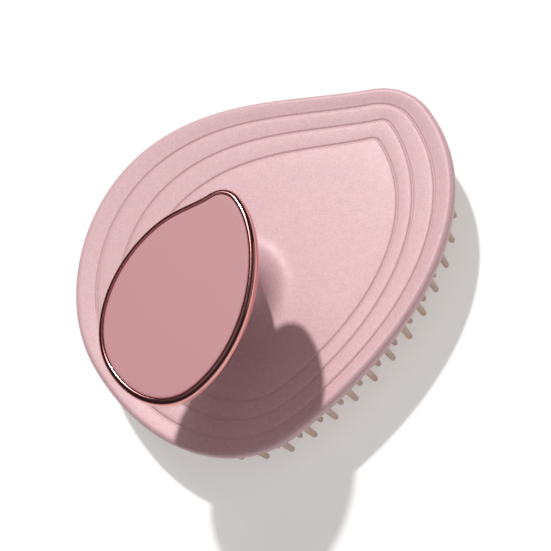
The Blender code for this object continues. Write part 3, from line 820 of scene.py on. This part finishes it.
@dataclass
class Knob:
    """The knob: bowl, plated ring and flat cap. Each turn is the degrees between two rings."""

    left: Point = (-28.5, -15.4)
    far: Point = (-1.6, 6.3)
    near: Point = (-15.8, -32.0)
    tip: Point = (15.5, 3.2)
    far_slope: float = -6.0
    near_slope: float = -87.5
    rounding: float = 3.8
    far_fullness: float = 0.35
    near_fullness: float = 0.37
    bottom: float = 36.3
    neck: float = 37.5
    rise: float = 10.3
    edge: float = 1.2
    brim_inset: float = 1.3
    brim_round: float = 0.8
    hollow: float = 5.3
    hollow_shares: Tuple[float, ...] = (1.0, 0.75, 0.5, 0.25, 0.0)
    ring_width: float = 1.6
    ring_height: float = 2.6
    ring_round: float = 1.2
    ring_sink: float = 0.01
    cap_thickness: float = 1.2
    cap_sink: float = 0.15
    tape: float = 0.4
    cap_bevel: float = 0.1
    cap_round: float = 0.3
    cap_land: float = 0.9
    seat: float = 3.0
    seat_bevel: float = 0.15
    neck_bevel: float = 0.2
    insert_radius: float = 3.2
    insert_length: float = 6.5
    insert_lift: float = 1.0
    hub_wall: float = 1.6
    hub_roof: float = 2.0
    inset: float = 0.04
    fine_gap: float = 0.07
    bowl_turn: int = 5
    brim_turn: int = 15
    ring_turn: int = 8
    cap_turn: int = 30
    cap: Loop = field(default_factory=list)

    def __post_init__(self) -> None:
        """Draw the cap's outline."""
        drop = Drop(self.left, self.far, self.near, self.tip, self.far_slope, self.near_slope,
                    self.rounding, self.far_fullness, self.near_fullness)
        self.cap = drop.outline(Detail.FINE)

    @property
    def brim(self) -> float:
        """Height of the bowl's lower edge."""
        return self.neck + self.rise

    @property
    def seat_height(self) -> float:
        """Height at which the plated ring sits."""
        return self.brim + self.edge

    @property
    def ring_top(self) -> float:
        """Height of the top of the plated ring, a little under its solid's."""
        return self.seat_height + GAP + self.ring_height - self.ring_sink

    @property
    def cap_top(self) -> float:
        """Height of the flat cap's top."""
        return self.ring_top - self.cap_sink

    def bowl(self, body: Body) -> bpy.types.Object:
        """The lower half of the knob with its spigot and hub."""
        brim = grown(self.cap, self.ring_width - self.brim_inset)
        lower = grown(brim, -self.brim_round)
        neck = ring(self.cap, body.neck_radius)
        spigot = flatted(ring(self.cap, body.spigot_radius), body.spigot_radius - body.spigot_cut)
        insert = ring(self.cap, self.insert_radius + GAP)
        hub = ring(self.cap, self.insert_radius + GAP + self.hub_wall)
        spigot_bottom = self.bottom - body.spigot_depth
        shoulder = spigot_bottom + self.insert_lift + self.insert_length + GAP
        cap_seat = self.cap_top - self.cap_thickness - self.tape - 2 * GAP
        rings = [(insert, spigot_bottom), (spigot, spigot_bottom), (spigot, self.bottom),
                 (ring(self.cap, body.neck_radius - self.neck_bevel), self.bottom),
                 (neck, self.bottom + self.neck_bevel)]
        for degrees in range(0, 91, self.bowl_turn):
            turn = math.radians(degrees)
            rings.append((between(neck, lower, 1 - math.cos(turn)),
                          self.neck + self.rise * math.sin(turn)))
        for degrees in range(self.brim_turn, 91, self.brim_turn):
            turn = math.radians(degrees)
            rings.append((grown(brim, -self.brim_round * (1 - math.sin(turn))),
                          self.brim + self.brim_round * (1 - math.cos(turn))))
        wall = grown(self.cap, -self.seat_bevel)
        rings += [(brim, self.seat_height - self.seat_bevel),
                  (grown(brim, -self.seat_bevel), self.seat_height),
                  (wall, self.seat_height), (wall, cap_seat)]
        seat_edge = grown(self.cap, -self.seat)
        rings.append((seat_edge, cap_seat))
        rings += [(between(hub, seat_edge, share), cap_seat - self.hollow * (1 - share) ** 2 - GAP)
                  for share in self.hollow_shares]
        bore = ring(self.cap, body.bore)
        rings += [(hub, shoulder + self.hub_roof), (bore, shoulder + self.hub_roof),
                  (bore, shoulder), (insert, shoulder)]
        item = loft("bowl", rings, body.place, closed=True)
        smooth(item)
        dress(item, PEARL_PINK)
        return item

    def band(self, body: Body) -> bpy.types.Object:
        """The plated ring: upright outside, rolled over the top, with a fine inner bevel."""
        outer = grown(self.cap, self.ring_width - self.inset)
        inner = grown(self.cap, self.fine_gap)
        low = self.seat_height + GAP
        rings = [(inner, low)]
        rings += [(grown(outer, -inward), low + up) for inward, up in RING_FOOT]
        for degrees in range(0, 86, self.ring_turn):
            turn = math.radians(degrees)
            rings.append((grown(outer, -self.ring_round * (1 - math.cos(turn))),
                          self.ring_top - self.ring_round * (1 - math.sin(turn))))
        rings += [(grown(inner, outward), self.ring_top - down) for outward, down in RING_LIP]
        item = loft("plated_ring", rings, body.place, closed=True)
        smooth(item)
        dress(item, ROSE_GOLD)
        return item

    def lid(self, body: Body) -> bpy.types.Object:
        """The flat soft-touch cap inside the ring."""
        edge = grown(self.cap, -self.fine_gap)
        low = self.cap_top - self.cap_thickness
        rings = [(grown(edge, -self.cap_bevel), low), (edge, low + self.cap_bevel),
                 (edge, self.cap_top - self.cap_round)]
        for degrees in range(self.cap_turn, 91, self.cap_turn):
            turn = math.radians(degrees)
            rings.append((grown(edge, -self.cap_round * (1 - math.cos(turn))),
                          self.cap_top - self.cap_round * (1 - math.sin(turn))))
        rings.append((grown(edge, -self.cap_land), self.cap_top))
        item = loft("flat_cap", rings, body.place, closed=False)
        smooth(item)
        dress(item, MAUVE)
        return item


@dataclass
class Pad:
    """The silicone pad with its bristles and anchors."""

    length: float = 11.0
    root: float = 1.1
    end: float = 0.75
    end_height: float = 0.72
    waist: Point = (0.85, 6.0)
    pitch: float = 7.0
    rows: Tuple[float, float] = (3.3, 5.4)
    field_pitch: float = 10.0
    field_inset: float = 10.9
    field_reach: float = 64.0
    thickness: float = 1.4
    inset: float = 1.85
    bevel: float = 0.15
    anchors: int = 8
    anchor_inset: float = 15.0
    anchor_radius: float = 1.6
    anchor_head: float = 2.7
    anchor_neck: float = 14.0
    anchor_top: float = 14.7
    anchor_round: float = 0.3
    anchor_sink: float = 0.4
    sides: int = 10
    smoothing: float = 50.0

    def places(self, body: Body) -> Loop:
        """Two staggered rows by the rim and a staggered field inside them."""
        coarse = body.drop(0).outline(Detail.SOLID)
        first = grown(coarse, -self.rows[0])
        places = spaced(first, pitch=self.pitch)
        halfway = spaced(first, count=len(places), phase=0.5)
        places += grown(halfway, self.rows[0] - self.rows[1])
        lane_pitch = self.field_pitch * math.sqrt(3) / 2
        lanes = math.ceil(self.field_reach / lane_pitch)
        for lane in range(-lanes, lanes + 1):
            for step in range(-2 * lanes, 2 * lanes + 1):
                along = (step + (lane % 2) / 2) * self.field_pitch
                point = body.middle + Vector((along, lane * lane_pitch))
                if edge_distance(point, coarse) >= self.field_inset:
                    places.append(point)
        return places

    def bristle(self) -> bpy.types.Object:
        """One tapered bristle with a round end and a fillet at its root, on the frame's axis."""
        section = [*BRISTLE_TIP, (self.end, self.end_height), self.waist]
        section += [(self.root + out, self.length + up) for out, up in BRISTLE_FILLET]
        rings = [(circle(radius, self.sides), height) for radius, height in section]
        return loft("bristle", rings, Vector((0, 0, 0)), closed=False)

    def anchor(self) -> bpy.types.Object:
        """One mushroom anchor that holds the pad in the base plate."""
        section = ((self.anchor_radius, self.length + self.thickness - self.anchor_sink),
                   (self.anchor_radius, self.anchor_neck), (self.anchor_head, self.anchor_neck),
                   (self.anchor_head - self.anchor_round, self.anchor_top))
        rings = [(circle(radius, self.sides + 2), height) for radius, height in section]
        return loft("anchor", rings, Vector((0, 0, 0)), closed=False)

    def pad(self, body: Body) -> bpy.types.Object:
        """The whole moulding."""
        edge = grown(body.outlines[0], -self.inset)
        low, high = self.length, self.length + self.thickness
        rings = [(grown(edge, -inward), low + up) for inward, up in PAD_EDGE]
        rings += [(edge, high - self.bevel), (grown(edge, -self.bevel), high)]
        pieces = [loft("silicone_pad", rings, body.place, closed=False)]
        one = self.bristle()
        for point in self.places(body):
            pieces.append(copied(one, body.place + Vector((point.x * MM, point.y * MM, 0))))
        holder = self.anchor()
        coarse = body.drop(0).outline(Detail.SOLID)
        for point in spaced(grown(coarse, -self.anchor_inset), count=self.anchors):
            pieces.append(copied(holder, body.place + Vector((point.x * MM, point.y * MM, 0))))
        for model in (one, holder):
            bpy.data.objects.remove(model, do_unlink=True)
        item = joined("silicone_pad", pieces)
        smooth(item, self.smoothing)
        dress(item, SILICONE)
        return item


# -------------------------------------------------------------------------------------------- stage


@dataclass(frozen=True)
class Panel:
    """A square soft light: where it hangs and its side in metres, its power in watts."""

    name: str
    place: Tuple[float, float, float]
    size: float
    power: float
    colour: Colour
    mirrored: bool


@dataclass
class Studio:
    """The floor, the light and the camera."""

    camera_place: Vector = field(default_factory=lambda: Vector((0.01716, -0.14780, 0.26860)))
    right: Vector = field(default_factory=lambda: Vector((0.7853, -0.5156, -0.3428)))
    up: Vector = field(default_factory=lambda: Vector((0.6156, 0.7096, 0.3428)))
    lens: float = 74.1
    sensor: float = 36.0
    nearest: float = 0.01
    key_azimuth: float = 68.5
    key_elevation: float = 55.5
    key_power: float = 2.7
    key_spread: float = 2.6
    key_colour: Colour = (1.0, 0.985, 0.97)
    panels: Tuple[Panel, ...] = (
        Panel("fill", (0.05, -0.45, 1.0), 1.5, 4.3, (1.0, 0.97, 0.95), mirrored=False),
        Panel("card", (0.75, -0.25, 0.45), 0.5, 0.2, (1.0, 0.95, 0.9), mirrored=True),
        Panel("sheen", (0.066, 0.41, 0.71), 0.22, 0.56, (1.0, 1.0, 1.0), mirrored=True))
    sky_stops: Tuple[Point, ...] = ((0.0, 0.30), (0.5, 0.03), (0.75, 0.05), (0.90, 0.12),
                                    (1.0, 0.40))
    sky_strength: float = 0.6
    floor_side: float = 6.0
    floor_colour: Colour = (0.68, 0.678, 0.675)
    floor_glow_colour: Colour = (1.0, 0.998, 0.995)
    floor_glow: float = 0.34
    floor_roughness: float = 0.7
    floor_specular: float = 0.2

    def camera(self) -> None:
        """The camera, looking down at the brush from the near side."""
        data = bpy.data.cameras.new("camera")
        data.lens = self.lens
        data.sensor_width = self.sensor
        data.clip_start = self.nearest
        item = bpy.data.objects.new("camera", data)
        back = self.right.cross(self.up).normalized()
        turn = Matrix((self.right.normalized(), self.up.normalized(), back)).transposed()
        item.matrix_world = Matrix.Translation(self.camera_place) @ turn.to_4x4()
        bpy.context.scene.collection.objects.link(item)
        bpy.context.scene.camera = item

    def key(self) -> None:
        """A small hard-edged key light, far above and behind."""
        data = bpy.data.lights.new("key", "SUN")
        data.energy = self.key_power
        data.angle = math.radians(self.key_spread)
        data.color = self.key_colour
        item = bpy.data.objects.new("key", data)
        height = math.radians(self.key_elevation)
        flat = heading(self.key_azimuth) * math.cos(height)
        way = Vector((flat.x, flat.y, math.sin(height)))
        item.matrix_world = way.to_track_quat("Z", "Y").to_matrix().to_4x4()
        bpy.context.scene.collection.objects.link(item)

    def soft_lights(self) -> None:
        """The square soft lights, each facing the brush."""
        for panel in self.panels:
            data = bpy.data.lights.new(panel.name, "AREA")
            data.shape = "SQUARE"
            data.size = panel.size
            data.energy = panel.power
            data.color = panel.colour
            item = bpy.data.objects.new(panel.name, data)
            place = Vector(panel.place)
            turn = place.to_track_quat("Z", "Y").to_matrix()
            item.matrix_world = Matrix.Translation(place) @ turn.to_4x4()
            item.visible_glossy = panel.mirrored
            bpy.context.scene.collection.objects.link(item)

    def sky(self) -> None:
        """A dim surrounding for the plating to reflect, and the plain view transform."""
        world = bpy.context.scene.world or bpy.data.worlds.new("studio")
        bpy.context.scene.world = world
        world.use_nodes = True
        nodes, links = world.node_tree.nodes, world.node_tree.links
        background = nodes["Background"]
        split = nodes.new("ShaderNodeSeparateXYZ")
        links.new(nodes.new("ShaderNodeTexCoord").outputs["Generated"], split.inputs["Vector"])
        ramp = nodes.new("ShaderNodeValToRGB")
        while len(ramp.color_ramp.elements) < len(self.sky_stops):
            ramp.color_ramp.elements.new(0.5)
        for element, (position, value) in zip(ramp.color_ramp.elements, self.sky_stops):
            element.position = position
            element.color = (value, value, value, 1.0)
        links.new(split.outputs["Z"], ramp.inputs["Fac"])
        links.new(ramp.outputs["Color"], background.inputs["Color"])
        background.inputs["Strength"].default_value = self.sky_strength
        bpy.context.scene.view_settings.view_transform = "Standard"

    def floor(self) -> None:
        """A plain pale floor under the bristle tips."""
        deselect()
        bpy.ops.mesh.primitive_plane_add(size=self.floor_side, location=(0, 0, 0))
        item = bpy.context.object
        item.name = "floor"
        material = bpy.data.materials.new("pale_floor")
        material.use_nodes = True
        shader = material.node_tree.nodes["Principled BSDF"]
        shader.inputs["Base Color"].default_value = (*self.floor_colour, 1.0)
        shader.inputs["Emission Color"].default_value = (*self.floor_glow_colour, 1.0)
        shader.inputs["Emission Strength"].default_value = self.floor_glow
        shader.inputs["Roughness"].default_value = self.floor_roughness
        shader.inputs["Specular IOR Level"].default_value = self.floor_specular
        item.data.materials.append(material)


KEPT_NODES: Dict[str, Finish] = {"base_plate": PLASTIC, "base_gasket": RUBBER, "neck_seal": RUBBER,
                                 "stem_screw": STEEL, "stem_washer": STEEL, "knob_insert": BRASS,
                                 "cap_tape": FOAM}


def hand_over(item: bpy.types.Object, node: str) -> None:
    """Let a new piece stand for a CAD node and ride on the brush."""
    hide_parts(node)
    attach(item, ROOT)
    LOG.info("%s stands for %s with %d faces", item.name, node, len(item.data.polygons))


def main() -> None:
    """Build every piece, dress the kept ones and set the stage."""
    logging.basicConfig(level=logging.INFO, format="%(message)s")
    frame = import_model()
    body, knob, pad = Body(), Knob(), Pad()
    hand_over(body.shell(), "upper_shell")
    hand_over(knob.bowl(body), "knob_bowl")
    hand_over(knob.band(body), "knob_ring")
    hand_over(knob.lid(body), "knob_cap")
    hand_over(pad.pad(body), "bristle_pad")
    for node, finish in KEPT_NODES.items():
        kept = frame["nodes"][node]
        for slot in kept.material_slots:
            slot.material = finish.material()
        LOG.info("%s keeps its solid in %s", node, finish.name)
    studio = Studio()
    studio.camera()
    studio.key()
    studio.soft_lights()
    studio.sky()
    studio.floor()


if __name__ == "__main__":
    main()
